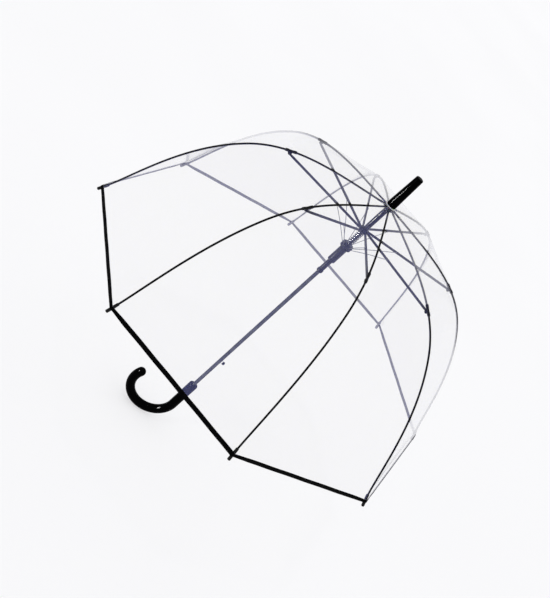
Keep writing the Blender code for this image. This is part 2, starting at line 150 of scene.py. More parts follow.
# ======================================================================
# Geometry helpers
# ======================================================================
def downhill(angle):
    """Unit vector outwards and down at this slope."""
    return Vector((math.cos(angle), -math.sin(angle)))


def cubic(p0, p1, p2, p3, count, crowd=1.0):
    """Points along a cubic arc; they crowd towards its beginning when crowd is over 1."""
    points = []
    for i in range(count + 1):
        t = (i / count) ** crowd
        u = 1 - t
        points.append(p0 * u ** 3 + p1 * 3 * u * u * t + p2 * 3 * u * t * t + p3 * t ** 3)
    return points


def inner_line(count, crowd=1.0):
    bend_out = NOTCH + PULL_NOTCH * downhill(SLOPE_NOTCH)
    bend_in = KNEE - PULL_KNEE_IN * downhill(SLOPE_KNEE)
    return cubic(NOTCH, bend_out, bend_in, KNEE, count, crowd)


def outer_line(count):
    bend_out = KNEE + PULL_KNEE_OUT * downhill(SLOPE_KNEE)
    bend_in = HEM - PULL_HEM * downhill(SLOPE_HEM)
    return cubic(KNEE, bend_out, bend_in, HEM, count)


def smooth_step(t):
    t = min(max(t, 0.0), 1.0)
    return t * t * (3 - 2 * t)


def piece_from(name, body, finish, degrees=40):
    """A bmesh as a named, smooth-shaded piece with one material."""
    mesh = bpy.data.meshes.new(name)
    body.to_mesh(mesh)
    body.free()
    mesh.shade_smooth()
    mesh.set_sharp_from_angle(angle=math.radians(degrees))
    mesh.materials.append(finish)
    piece = bpy.data.objects.new(name, mesh)
    bpy.context.scene.collection.objects.link(piece)
    return piece


def loft(body, rings):
    """Quads between closed rings of points, with capped ends."""
    made = [[body.verts.new(p) for p in ring] for ring in rings]
    count = len(made[0])
    for a, b in zip(made, made[1:]):
        for i in range(count):
            j = (i + 1) % count
            body.faces.new((a[i], a[j], b[j], b[i]))
    body.faces.new(list(reversed(made[0])))
    body.faces.new(made[-1])


def sweep_rings(path, radii, sides):
    """Round rings along a path of 3-D points; a radius may be a number or (across, tall)."""
    rings = []
    normal = None
    for i, point in enumerate(path):
        before = path[max(i - 1, 0)]
        after = path[min(i + 1, len(path) - 1)]
        run = (after - before).normalized()
        if normal is None:
            axis = Vector((0, 0, 1)) if abs(run.z) < 0.9 else Vector((1, 0, 0))
            normal = (axis - run * axis.dot(run)).normalized()
        else:
            normal = (normal - run * normal.dot(run)).normalized()
        side = run.cross(normal)
        across, tall = radii[i] if isinstance(radii[i], tuple) else (radii[i], radii[i])
        ring = []
        for k in range(sides):
            angle = 2 * math.pi * k / sides
            ring.append(point + side * across * math.cos(angle) + normal * tall * math.sin(angle))
        rings.append(ring)
    return rings


def tube(name, path, radii, sides, finish):
    body = bmesh.new()
    loft(body, sweep_rings(path, radii, sides))
    bmesh.ops.recalc_face_normals(body, faces=body.faces)
    return piece_from(name, body, finish)


def lathe(body, profile, steps, closed):
    """Turns a (radius, height) profile about Z into the bmesh."""
    rings = []
    for r, z in profile:
        if r < 1e-7:
            rings.append([body.verts.new((0, 0, z))])
        else:
            ring = []
            for k in range(steps):
                angle = 2 * math.pi * k / steps
                ring.append(body.verts.new((r * math.cos(angle), r * math.sin(angle), z)))
            rings.append(ring)
    pairs = list(zip(rings, rings[1:]))
    if closed:
        pairs.append((rings[-1], rings[0]))
    for a, b in pairs:
        for k in range(steps):
            j = (k + 1) % steps
            corners = [a[k % len(a)], a[j % len(a)], b[j % len(b)], b[k % len(b)]]
            unique = list(dict.fromkeys(corners))
            body.faces.new(unique)
    bmesh.ops.recalc_face_normals(body, faces=body.faces)


def turned(name, profile, finish, steps, closed=True):
    body = bmesh.new()
    lathe(body, profile, steps, closed)
    return piece_from(name, body, finish)


def arc(centre, radius, start, stop, count):
    """Points on an arc in the (radius, height) plane, with angles in degrees."""
    points = []
    for i in range(count + 1):
        angle = math.radians(start + (stop - start) * i / count)
        points.append((centre[0] + radius * math.cos(angle), centre[1] + radius * math.sin(angle)))
    return points


def rounded_ring(outer, low, high, edge):
    """Closed profile of a ring round the shaft, with round outer edges."""
    profile = arc((outer - edge, high - edge), edge, 90, 0, 4)
    profile += arc((outer - edge, low + edge), edge, 0, -90, 4)
    profile += [(BORE, low), (BORE, high)]
    return profile


def turn_about_z(piece, azimuth):
    piece.data.transform(Matrix.Rotation(azimuth, 4, "Z"))


def bevel(piece, width):
    modifier = piece.modifiers.new("edges", "BEVEL")
    modifier.width = width
    modifier.segments = 2
    modifier.limit_method = "ANGLE"
    modifier.angle_limit = math.radians(35)
    modifier.harden_normals = True
    return piece


# ======================================================================
# Materials
# ======================================================================
class Nodes:
    """Short calls for building a node tree."""

    def __init__(self, name):
        self.material = bpy.data.materials.new(name)
        self.material.use_nodes = True
        self.tree = self.material.node_tree
        self.shader = self.tree.nodes["Principled BSDF"]
        self.output = self.tree.nodes["Material Output"]

    def add(self, kind, **values):
        node = self.tree.nodes.new(kind)
        for key, value in values.items():
            setattr(node, key, value)
        return node

    def link(self, a, b):
        self.tree.links.new(a, b)

    def set(self, **values):
        for key, value in values.items():
            self.shader.inputs[key.replace("_", " ")].default_value = value

    def coordinates(self, scale=(1, 1, 1)):
        where = self.add("ShaderNodeTexCoord")
        mapping = self.add("ShaderNodeMapping")
        mapping.inputs["Scale"].default_value = scale
        self.link(where.outputs["Object"], mapping.inputs["Vector"])
        return mapping.outputs["Vector"]

    def noise(self, scale, detail=3.0, stretch=(1, 1, 1)):
        made = self.add("ShaderNodeTexNoise")
        made.inputs["Scale"].default_value = scale
        made.inputs["Detail"].default_value = detail
        self.link(self.coordinates(stretch), made.inputs["Vector"])
        return made.outputs["Fac"]

    def ramp(self, source, low, high, start=0.35, stop=0.65):
        """The source spread between two values."""
        made = self.add("ShaderNodeMapRange")
        made.inputs["From Min"].default_value = start
        made.inputs["From Max"].default_value = stop
        made.inputs["To Min"].default_value = low
        made.inputs["To Max"].default_value = high
        self.link(source, made.inputs["Value"])
        return made.outputs["Result"]

    def mix_colour(self, source, a, b, start=0.35, stop=0.65):
        made = self.add("ShaderNodeMix")
        made.data_type = "RGBA"
        made.inputs["A"].default_value = (*a, 1.0)
        made.inputs["B"].default_value = (*b, 1.0)
        self.link(self.ramp(source, 0.0, 1.0, start, stop), made.inputs["Factor"])
        return made.outputs["Result"]

    def math(self, operation, a, b):
        """A Math node on two numbers or sockets."""
        made = self.add("ShaderNodeMath")
        made.operation = operation
        for i, value in enumerate((a, b)):
            if isinstance(value, (int, float)):
                made.inputs[i].default_value = value
            else:
                self.link(value, made.inputs[i])
        return made.outputs[0]

    def bump(self, height, distance, strength):
        made = self.add("ShaderNodeBump")
        made.inputs["Distance"].default_value = distance
        made.inputs["Strength"].default_value = strength
        self.link(height, made.inputs["Height"])
        self.link(made.outputs["Normal"], self.shader.inputs["Normal"])


def moulded(name, dark, light, rough_low, rough_high, gloss, grain=900.0):
    """Moulded plastic: a slight mottle, uneven gloss and a fine grain."""
    made = Nodes(name)
    made.link(made.mix_colour(made.noise(55.0), dark, light), made.shader.inputs["Base Color"])
    made.link(made.ramp(made.noise(140.0), rough_low, rough_high), made.shader.inputs["Roughness"])
    made.set(Specular_IOR_Level=gloss)
    made.bump(made.noise(grain, 2.0), 0.00002, 0.2)
    return made.material


def metal(name, dark, light, rough_low, rough_high, stretch=(1, 1, 1), edge=1.0):
    """Drawn or plated metal, with fine lines along the part. An edge under 1 darkens it at a slant."""
    made = Nodes(name)
    made.link(made.mix_colour(made.noise(60.0), dark, light), made.shader.inputs["Base Color"])
    lines = made.noise(420.0, 4.0, stretch)
    made.link(made.ramp(lines, rough_low, rough_high), made.shader.inputs["Roughness"])
    made.set(Metallic=1.0, Specular_Tint=(edge, edge, edge, 1.0))
    made.bump(lines, 0.00003, 0.3)
    return made.material


def tape(name, dark, light):
    """Woven binding: fine weave and worn threads."""
    made = Nodes(name)
    weave = made.add("ShaderNodeTexWave")
    weave.wave_type = "BANDS"
    weave.bands_direction = "DIAGONAL"
    weave.inputs["Scale"].default_value = 900.0
    weave.inputs["Distortion"].default_value = 1.5
    weave.inputs["Detail"].default_value = 2.0
    made.link(made.coordinates(), weave.inputs["Vector"])
    colour = made.mix_colour(made.noise(260.0), dark, light)
    made.link(colour, made.shader.inputs["Base Color"])
    made.link(made.ramp(made.noise(90.0), 0.7, 0.9), made.shader.inputs["Roughness"])
    made.set(Specular_IOR_Level=0.03)
    made.bump(weave.outputs["Fac"], 0.00012, 0.5)
    return made.material


def clear_film(name, haze, shine, rough):
    """Clear sheet. Its haze scatters blue light, grows at a slant and stays off the tight seams."""
    made = Nodes(name)
    made.tree.nodes.remove(made.shader)
    facing = made.add("ShaderNodeLayerWeight")
    facing.inputs["Blend"].default_value = 0.5
    slant = made.math("MULTIPLY", made.math("POWER", facing.outputs["Facing"], 6.0), 7.0)
    path = made.math("MULTIPLY", haze, made.math("ADD", slant, 1.0))
    veil = made.add("ShaderNodeAttribute")
    veil.attribute_name = "veil"
    cloud = made.ramp(made.noise(14.0, 4.0), 0.88, 1.12)
    share = made.math("MULTIPLY", path, made.math("MULTIPLY", veil.outputs["Fac"], cloud))
    share = made.math("MINIMUM", made.math("MAXIMUM", share, 0.01), 0.93)
    cover = made.math("MINIMUM", veil.outputs["Fac"], 1.0)
    tint = made.mix_colour(cover, SEAM_TINT, CLEAR_TINT, 0.0, 1.0)
    through = made.add("ShaderNodeBsdfTransparent")
    made.link(tint, through.inputs["Color"])
    scattered = made.add("ShaderNodeBsdfTranslucent")
    extra = made.add("ShaderNodeVectorMath", operation="SCALE")
    extra.inputs[0].default_value = SCATTER_TINT
    made.link(made.math("DIVIDE", cover, share), extra.inputs["Scale"])
    total = made.add("ShaderNodeVectorMath", operation="ADD")
    made.link(tint, total.inputs[0])
    made.link(extra.outputs[0], total.inputs[1])
    not_below_zero = made.add("ShaderNodeVectorMath", operation="MAXIMUM")
    made.link(total.outputs[0], not_below_zero.inputs[0])
    made.link(not_below_zero.outputs[0], scattered.inputs["Color"])
    veiled = made.add("ShaderNodeMixShader")
    made.link(share, veiled.inputs["Fac"])
    made.link(through.outputs[0], veiled.inputs[1])
    made.link(scattered.outputs[0], veiled.inputs[2])
    mirror = made.add("ShaderNodeBsdfGlossy")
    mirror.inputs["Color"].default_value = (0.97, 0.97, 0.98, 1.0)
    made.link(made.ramp(made.noise(60.0), rough * 0.8, rough * 1.3), mirror.inputs["Roughness"])
    glint = made.math("MULTIPLY", made.math("POWER", facing.outputs["Facing"], 5.0), shine)
    glint = made.math("MULTIPLY", glint, cover)
    whole = made.add("ShaderNodeMixShader")
    made.link(made.math("MINIMUM", glint, 0.55), whole.inputs["Fac"])
    made.link(veiled.outputs[0], whole.inputs[1])
    made.link(mirror.outputs[0], whole.inputs[2])
    made.link(whole.outputs[0], made.output.inputs["Surface"])
    return made.material


def clear_plastic(name):
    """Moulded clear plastic: mostly milky and bright, with a strong gloss."""
    made = Nodes(name)
    colour = made.mix_colour(made.noise(240.0), (0.80, 0.80, 0.83), (0.95, 0.95, 0.97))
    made.link(colour, made.shader.inputs["Base Color"])
    made.link(made.ramp(made.noise(180.0), 0.08, 0.2), made.shader.inputs["Roughness"])
    made.set(IOR=1.49, Subsurface_Weight=0.2, Subsurface_Scale=0.002, Coat_Weight=0.4)
    made.link(made.ramp(made.noise(90.0), 0.62, 0.80), made.shader.inputs["Alpha"])
    made.bump(made.noise(700.0, 2.0), 0.00005, 0.3)
    return made.material


GLOSS_BLACK = moulded(
    "gloss_black_plastic", (0.0001, 0.0001, 0.0002), (0.0004, 0.0004, 0.0006), 0.05, 0.09, 0.012)
HANDLE_BLACK = moulded(
    "handle_black_plastic", (0.0001, 0.0001, 0.0002), (0.0005, 0.0005, 0.0007), 0.09, 0.13, 0.016)
RIB_BLACK = moulded(
    "rib_black", (0.0003, 0.0003, 0.0004), (0.0010, 0.0010, 0.0013), 0.42, 0.55, 0.05, 1400.0)
# painted haze: a grey standing for light the film scatters over the far ribs' inner sides; the ribs
# themselves are black
RIB_PAINTED_HAZE = moulded(
    "rib_painted_haze", (0.27, 0.27, 0.31), (0.35, 0.35, 0.395), 0.42, 0.55, 0.05, 1400.0)
# painted haze: a grey standing for light the film scatters over one black rib's upper part
RIB_TOP_PAINTED_HAZE = moulded(
    "rib_top_painted_haze", (0.10, 0.10, 0.115), (0.15, 0.15, 0.168), 0.42, 0.55, 0.05, 1400.0)
TIP_BLACK = moulded(
    "tip_black", (0.0006, 0.0006, 0.0008), (0.0020, 0.0020, 0.0024), 0.18, 0.30, 0.16, 1100.0)
SLEEVE_BLACK = metal("sleeve_black", (0.006, 0.006, 0.007), (0.016, 0.016, 0.018), 0.35, 0.5)
STEEL = metal(
    "shaft_steel", (0.060, 0.062, 0.068), (0.105, 0.108, 0.115), 0.22, 0.34, (1, 1, 0.04), 0.15)
DARK_STEEL = metal("stretcher_steel", (0.012, 0.012, 0.017), (0.034, 0.034, 0.043), 0.3, 0.45)
WIRE_STEEL = metal("pull_wire_steel", (0.16, 0.16, 0.17), (0.26, 0.26, 0.28), 0.25, 0.4)
SPRING_STEEL = metal("spring_steel", (0.07, 0.07, 0.08), (0.16, 0.16, 0.18), 0.12, 0.24)
CATCH_STEEL = metal("catch_steel", (0.74, 0.74, 0.78), (0.90, 0.90, 0.93), 0.25, 0.4, (1, 1, 0.1))
GREY_PLASTIC = moulded("grey_plastic", (0.0035, 0.0035, 0.006), (0.008, 0.008, 0.012), 0.30, 0.42, 0.20)
TUBE_PLASTIC = moulded(
    "tube_plastic", (0.0008, 0.0008, 0.0014), (0.0025, 0.0025, 0.0035), 0.10, 0.17, 0.16)
CLEAR_PLASTIC = clear_plastic("clear_plastic")
FILM = clear_film("clear_film", haze=0.082, shine=1.3, rough=0.10)
TAPE = tape("hem_tape", (0.0003, 0.0003, 0.0004), (0.0016, 0.0016, 0.0020))
# painted haze and sheen: a grey standing for light the film scatters and reflects over the black tape's
# inner side
TAPE_PAINTED_HAZE = tape("hem_tape_painted_haze", (0.22, 0.22, 0.26), (0.30, 0.30, 0.345))


# ======================================================================
# Canopy
# ======================================================================
def film_line():
    """The film's line over a rib, from its hinge to the hem, and the index of the knee's point."""
    upper = inner_line(54, 1.5)
    line = upper + outer_line(56)[1:]
    ramp = 0.014        # the film's rise to a sleeve or a tip is this long
    gaps = []
    for point in line:
        from_joint = (point - JOINT).length - SLEEVE_HALF
        over_sleeve = 1 - smooth_step(from_joint / ramp)
        over_tip = 1 - smooth_step(((HEM - point).length - TIP_ABOVE_HEM) / ramp)
        gaps.append(FILM_OFF + SLEEVE_LIFT * over_sleeve + TIP_LIFT * over_tip)
    lifted = []
    for i, point in enumerate(line):
        run = (line[min(i + 1, len(line) - 1)] - line[max(i - 1, 0)]).normalized()
        lifted.append(point + Vector((-run.y, run.x)) * gaps[i])
    start = Vector((FILM_START_R, lifted[0].y + 0.0003))
    return [start] + lifted, len(upper)


def panel_sag(r):
    """The film dips a little between the ribs, most half way down."""
    return 0.012 * r * math.sin(math.pi * min(r / RIM_RADIUS, 1.0) ** 0.8)


def crown_fold(r, share, k):
    """Puckers where the film is gathered under the ferrule: short folds that run down the panel."""
    near = smooth_step((r - 0.007) / 0.008) * (1 - smooth_step((r - 0.016) / 0.030))
    wander = noise.noise(Vector((share * 1.3, r * 60.0, 5.0 * k + 2.0)))
    fold = math.sin(share * 7.5 + 1.7 * k + 2.5 * wander)
    return 0.0013 * near * (1 - share * share) * (fold + 0.8 * wander)


def panel_point(line_point, share, k):
    """A point across panel k: share runs from -1 at one rib to 1 at the next."""
    r, z = line_point
    half = r * math.sin(HALF_STEP)
    sag = panel_sag(r) * (1 - share * share)
    return Vector((r * math.cos(HALF_STEP) - sag, half * share, z - 0.35 * sag + crown_fold(r, share, k)))


def panel_shares(r):
    """Where a panel's columns lie: close together beside the ribs, where the seam is."""
    half = r * math.sin(HALF_STEP)
    scale = min(1.0, half / 0.024)      # near the crown the seam's columns move closer together
    beside = [d * scale for d in (0.0, SEAM_WIDE * 0.5, SEAM_WIDE, SEAM_FADE, SEAM_LIMIT)]
    left = [-1 + d / half for d in beside]
    reach = -left[-1]
    inner = [-reach + 2 * reach * i / PANEL_COLUMNS for i in range(1, PANEL_COLUMNS)]
    return left + inner + [-share for share in reversed(left)]


def veil_at(point, r, share, column, columns, k):
    """How milky the film is: clear on the tight seams, less by the joints, more in the crown's folds."""
    crown = 1 - smooth_step((r - 0.009) / 0.010)
    mottle = 0.5 + 0.5 * noise.noise(Vector((share * 5.0, r * 200.0, 3.0 * k)))
    way = 1 if share > 0 else -1
    joint = Vector((JOINT.x * math.cos(HALF_STEP), way * JOINT.x * math.sin(HALF_STEP), JOINT.y))
    milk = (1.0 + 2.2 * crown * mottle) * (0.25 + 0.75 * smooth_step((point - joint).length / CLEAR_SPOT))
    touch, leave, reach = CONTACT[k if share < 0 else (k + 1) % RIBS]
    if min(column, columns - 1 - column) <= reach:
        milk *= 1 - smooth_step((r - touch) / 0.025) * (1 - smooth_step((r - leave) / 0.030))
    return milk


def panel_grid(k):
    """Points, normals and veil of a whole panel, row by row."""
    line, to_knee = film_line()
    points = [[panel_point(p, share, k) for share in panel_shares(p.x)] for p in line]
    normals = []
    for i, row in enumerate(points):
        above = points[max(i - 1, 0)]
        below = points[min(i + 1, len(points) - 1)]
        made = []
        for c in range(len(row)):
            across = row[min(c + 1, len(row) - 1)] - row[max(c - 1, 0)]
            made.append(across.cross(above[c] - below[c]).normalized())
        normals.append(made)
    veils = []
    for row, p in zip(points, line):
        shares = panel_shares(p.x)
        across = enumerate(zip(row, shares))
        veils.append([veil_at(point, p.x, share, c, len(shares), k) for c, (point, share) in across])
    return points, normals, veils, to_knee


def film_panel(name, grid, first, last, k):
    """The rows of a panel from first to last, as one sheet with the whole panel's normals."""
    points, normals, veils = (part[first:last + 1] for part in grid[:3])
    body = bmesh.new()
    rows = [[body.verts.new(p) for p in row] for row in points]
    for a, b in zip(rows, rows[1:]):
        for i in range(len(a) - 1):
            body.faces.new((a[i], b[i], b[i + 1], a[i + 1]))
    panel = piece_from(name, body, FILM, 180)
    veil = panel.data.attributes.new("veil", "FLOAT", "POINT")
    veil.data.foreach_set("value", [value for row in veils for value in row])
    flat = [normal for row in normals for normal in row]
    turn = Matrix.Rotation((k + 0.5) * RIB_STEP, 3, "Z")
    panel.data.transform(turn.to_4x4())
    panel.data.normals_split_custom_set_from_vertices([turn @ normal for normal in flat])
    return panel


def hem_tape(name, line, k):
    """Folded tape over the hem: full width along the span, drawn in at the tips."""
    end = line[-1]
    half = end.x * math.sin(HALF_STEP)
    columns = 64
    slope = math.radians(TAPE_SLOPES[k])
    rib_slope = math.atan2(math.sin(SLOPE_HEM), math.cos(SLOPE_HEM) * math.cos(HALF_STEP))
    thick = TAPE_THICK / 2
    section = [(-0.5, 0.7), (-0.42, 1), (0.42, 1), (0.5, 0.7)]
    section += [(-along, -side) for along, side in section]
    body = bmesh.new()
    rings = []
    for c in range(columns + 1):
        share = -1 + 2 * c / columns
        from_tip = (1 - abs(share)) * half
        open_share = smooth_step(from_tip / 0.040)
        narrow = TAPE_WIDE if (k, math.copysign(1, share)) == TAPE_UNTAPERED else TAPE_NARROW
        width = narrow + (TAPE_WIDE - narrow) * open_share
        lean = rib_slope + (slope - rib_slope) * smooth_step(from_tip / 0.030)
        down = Vector((math.cos(lean), 0, -math.sin(lean)))
        out = Vector((math.sin(lean), 0, math.cos(lean)))
        ripple = 0.0002 * math.sin(share * 13 + 2.1 * k) * open_share
        centre = panel_point(end, share, k) + Vector((0, 0, ripple))
        rings.append([centre + down * (along * width) + out * (side * thick) for along, side in section])
    loft(body, rings)
    bmesh.ops.recalc_face_normals(body, faces=body.faces)
    piece = piece_from(name, body, TAPE, 60)
    piece.data.materials.append(TAPE_PAINTED_HAZE)
    for face in piece.data.polygons:
        if face.normal.x < -0.3:
            face.material_index = 1     # painted haze and sheen: the inner side is grey for the light that the film over it scatters and reflects
    turn_about_z(piece, (k + 0.5) * RIB_STEP)
    return piece


def gather(piece):
    """Gives the piece its own copy of its mesh."""
    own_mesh(piece)


def make_canopy():
    line, to_knee = film_line()
    for k in range(RIBS):
        grid = panel_grid(k)
        upper = film_panel(f"film_upper_{k + 1}", grid, 0, to_knee, k)
        lower = film_panel(f"film_lower_{k + 1}", grid, to_knee, len(line) - 1, k)
        tape_piece = hem_tape(f"hem_tape_{k + 1}", line, k)
        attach(upper, f"film_inner_{k + 1}")
        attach(lower, f"film_outer_{k + 1}")
        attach(tape_piece, f"film_outer_{k + 1}")
        for piece in (upper, lower, tape_piece):
            gather(piece)
        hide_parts(f"film_inner_{k + 1}")
        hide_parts(f"film_outer_{k + 1}")


# ======================================================================
# Ribs and their fittings
# ======================================================================
def as_3d(points):
    """(radius, height) points in the XZ plane."""
    return [Vector((p.x, 0.0, p.y)) for p in points]


def paint_rib_haze(rib, k):
    """Paints a grey haze on the inner side of some ribs and tips, and on one rib's upper part. It stands
    for the light that the film over them, in its welded channel, scatters and reflects.
    """
    inwards = Vector((-0.82, 0, -0.57))
    if k in INNER_PAINTED_HAZE:
        rib.data.materials.append(RIB_PAINTED_HAZE)
        chosen = [f for f in rib.data.polygons if f.center.x > JOINT.x and f.normal.dot(inwards) > -0.5]
    elif k in TOP_PAINTED_HAZE:
        rib.data.materials.append(RIB_TOP_PAINTED_HAZE)
        chosen = [f for f in rib.data.polygons if f.center.x < JOINT.x]
    else:
        chosen = []
    for face in chosen:
        face.material_index = 1


def make_ribs():
    upper = inner_line(40)
    lower = outer_line(44)
    line = upper + lower[1:]
    for k in range(RIBS):
        path = as_3d(line)
        radii = []
        for i in range(len(path)):
            share = i / (len(path) - 1)
            eye = 1 - smooth_step(share / 0.02)     # flattened where it hinges in the notch
            radii.append((RIB_WIRE_R * (1 - 0.35 * eye), RIB_WIRE_R * (1 + 0.15 * eye)))
        rib = tube(f"rib_{k + 1}", path, radii, 12, RIB_BLACK)
        paint_rib_haze(rib, k)
        turn_about_z(rib, k * RIB_STEP)
        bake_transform(rib)
        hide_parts(f"rib_inner_{k + 1}", f"rib_outer_{k + 1}")
        make_tip(k)
        make_sleeve(k, upper)


def make_tip(k):
    """Moulded tip: a collar above the hem, a groove where the hem is tied, and a round end."""
    run = downhill(SLOPE_HEM)
    start = HEM - run * TIP_ABOVE_HEM
    length = TIP_ABOVE_HEM + TIP_BELOW_HEM
    groove = TIP_ABOVE_HEM
    stations = [
        (0.0, 0.0019), (0.0005, 0.0024), (0.0018, TIP_R - 0.0002), (groove - 0.0034, TIP_R),
        (groove - 0.0024, TIP_R - 0.0006), (groove + 0.0024, TIP_R - 0.0006), (groove + 0.0034, TIP_R),
        (length - 0.0018, TIP_R), (length - 0.0007, TIP_R - 0.0004), (length - 0.0001, 0.0017),
        (length, 0.0007),
    ]
    path = as_3d([start + run * at for at, _ in stations])
    cap = tube(f"tip_{k + 1}", path, [r for _, r in stations], 20, TIP_BLACK)
    paint_rib_haze(cap, k)
    turn_about_z(cap, k * RIB_STEP)
    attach(cap, f"rib_outer_{k + 1}")


def make_sleeve(k, upper):
    """Crimped sleeve on the rib with a short ear down to the stretcher's pivot."""
    nearest = min(range(len(upper)), key=lambda i: (upper[i] - JOINT).length)
    run = (upper[nearest + 1] - upper[nearest - 1]).normalized()
    centre = upper[nearest]
    half = SLEEVE_HALF
    crimp = SLEEVE_R - 0.0004
    stations = [(-half, 0.0020), (-half + 0.0007, SLEEVE_R), (-0.0045, SLEEVE_R), (-0.0036, crimp),
                (0.0036, crimp), (0.0045, SLEEVE_R), (half - 0.0007, SLEEVE_R), (half, 0.0020)]
    body = bmesh.new()
    path = as_3d([centre + run * at for at, _ in stations])
    loft(body, sweep_rings(path, [r for _, r in stations], 14))
    ear_half = 0.0048
    ear_thick = 0.0018
    ear_round = 0.0036
    ear_face = STRETCHER_SIDE - 0.0022
    ear = []
    for side in (ear_face - ear_thick, ear_face):
        ring = [centre - run * ear_half, centre + run * ear_half]
        outline = [(p.x, side, p.y) for p in ring]
        for i in range(7):
            angle = math.radians(-20 - 23.3 * i)
            p = JOINT + ear_round * Vector((math.cos(angle), math.sin(angle)))
            outline.append((p.x, side, p.y))
        ear.append([Vector(p) for p in outline])
    loft(body, ear)
    pin = [Vector((JOINT.x, STRETCHER_SIDE - reach, JOINT.y)) for reach in (0.0030, 0.0016)]
    loft(body, sweep_rings(pin, [0.0011, 0.0011], 12))
    bmesh.ops.recalc_face_normals(body, faces=body.faces)
    sleeve = piece_from(f"rib_sleeve_{k + 1}", body, SLEEVE_BLACK)
    turn_about_z(sleeve, k * RIB_STEP)
    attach(sleeve, f"rib_inner_{k + 1}")


# ======================================================================
# Stretchers and pull wires
# ======================================================================
def channel_ring(centre, run, side_way, width, deep, wall):
    """Section of a bar folded into a channel that is open on top."""
    up = run.cross(side_way)
    if up.z < 0:
        up = -up
    w, d = width / 2, deep / 2
    outline = [(-w, d), (-w, -d), (w, -d), (w, d)]
    outline += [(w - wall, d), (w - wall, -d + wall), (-w + wall, -d + wall), (-w + wall, d)]
    return [centre + side_way * x + up * y for x, y in outline]


def make_stretcher(k):
    span = JOINT - HUB
    run = Vector((span.x, 0, span.y)).normalized()
    side_way = Vector((0, 1, 0))
    length = span.length
    stations = [        # place along it, width and depth
        (-0.0018, 0.0015, 0.0026), (0.0, 0.0018, 0.0036), (0.0050, 0.0020, 0.0038),
        (0.0110, 0.0024, 0.0042), (0.0640, 0.0024, 0.0042), (0.0660, 0.0024, 0.0046),
        (0.0750, 0.0024, 0.0046), (0.0770, 0.0024, 0.0042), (length - 0.012, 0.0024, 0.0042),
        (length - 0.005, 0.0020, 0.0038), (length, 0.0018, 0.0036), (length + 0.0018, 0.0015, 0.0026),
    ]
    wall = 0.0005
    start = Vector((HUB.x, STRETCHER_SIDE, HUB.y))
    body = bmesh.new()
    rings = []
    for at, width, deep in stations:
        rings.append(channel_ring(start + run * at, run, side_way, width, deep, wall))
    loft(body, rings)
    for at in (0.0, WIRE_REACH, length):
        centre = start + run * at
        pin = [centre + side_way * -0.0014, centre + side_way * 0.0014]
        loft(body, sweep_rings(pin, [PIN_R, PIN_R], 12))
    bmesh.ops.recalc_face_normals(body, faces=body.faces)
    piece = piece_from(f"stretcher_bar_{k + 1}", body, DARK_STEEL)
    turn_about_z(piece, k * RIB_STEP)
    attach(piece, f"stretcher_{k + 1}")
    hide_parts(f"stretcher_{k + 1}")


def make_pull_wire(k):
    """Thin wire with an eye bent at each end."""
    reach = HUB + (JOINT - HUB).normalized() * WIRE_REACH
    start = Vector((RUNNER.x, WIRE_SIDE, RUNNER.y))
    stop = Vector((reach.x, WIRE_SIDE, reach.y))
    run = (stop - start).normalized()
    side = Vector((run.z, 0, -run.x))
    wire_r = 0.00065
    eye = 0.0014
    neck = 0.006        # from an eye's middle to where the wire runs straight
    bow = 0.0010
    path = []
    for i in range(11):
        angle = math.radians(160 - 32 * i)
        path.append(start + eye * (math.cos(angle) * run + math.sin(angle) * side))
    path.append(start + run * neck)
    for i in range(1, 8):
        t = i / 8
        path.append(start.lerp(stop, 0.07 + 0.86 * t) - side * bow * math.sin(math.pi * t))
    path.append(stop - run * neck)
    for i in range(11):
        angle = math.radians(200 + 32 * i)
        path.append(stop + eye * (math.cos(angle) * run + math.sin(angle) * side))
    wire = tube(f"pull_wire_rod_{k + 1}", path, [wire_r] * len(path), 8, WIRE_STEEL)
    turn_about_z(wire, k * RIB_STEP)
    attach(wire, f"pull_wire_{k + 1}")
    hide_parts(f"pull_wire_{k + 1}")


# ======================================================================
# Pieces on the shaft
# ======================================================================
def box_matrix(size, middle):
    """Places a unit cube as a box of this size."""
    return Matrix.Translation(middle) @ Matrix.Diagonal((*size, 1.0))


def cut_boxes(piece, boxes):
    """Takes boxes out of a piece with one cutter, which is then removed."""
    body = bmesh.new()
    for box in boxes:
        bmesh.ops.create_cube(body, size=1.0, matrix=box)
    mesh = bpy.data.meshes.new("cutter")
    body.to_mesh(mesh)
    body.free()
    cutter = bpy.data.objects.new("cutter", mesh)
    bpy.context.scene.collection.objects.link(cutter)
    boolean = piece.modifiers.new("slots", "BOOLEAN")
    boolean.solver = "EXACT"
    boolean.object = cutter
    bpy.context.view_layer.update()
    graph = bpy.context.evaluated_depsgraph_get()
    done = bpy.data.meshes.new_from_object(piece.evaluated_get(graph), depsgraph=graph)
    piece.modifiers.clear()
    piece.data = done
    done.shade_smooth()
    done.set_sharp_from_angle(angle=math.radians(30))
    bpy.data.objects.remove(cutter)


def cut_slots(piece, inner, outer, side, width, low, high):
    """Eight radial slots, one for each rib."""
    box = box_matrix((outer - inner, width, high - low), ((outer + inner) / 2, side, (high + low) / 2))
    cut_boxes(piece, [Matrix.Rotation(k * RIB_STEP, 4, "Z") @ box for k in range(RIBS)])


def on_body(piece, body, slot, *nodes):
    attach(piece, body)
    if nodes:
        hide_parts(*nodes)
    return piece


CATCH_SLOT = 0.0036     # width of the catch's slot in the shaft
CATCH_NOSE = 0.0032     # thickness of its nose
CATCH_STRIP = 0.0012    # and of its strip


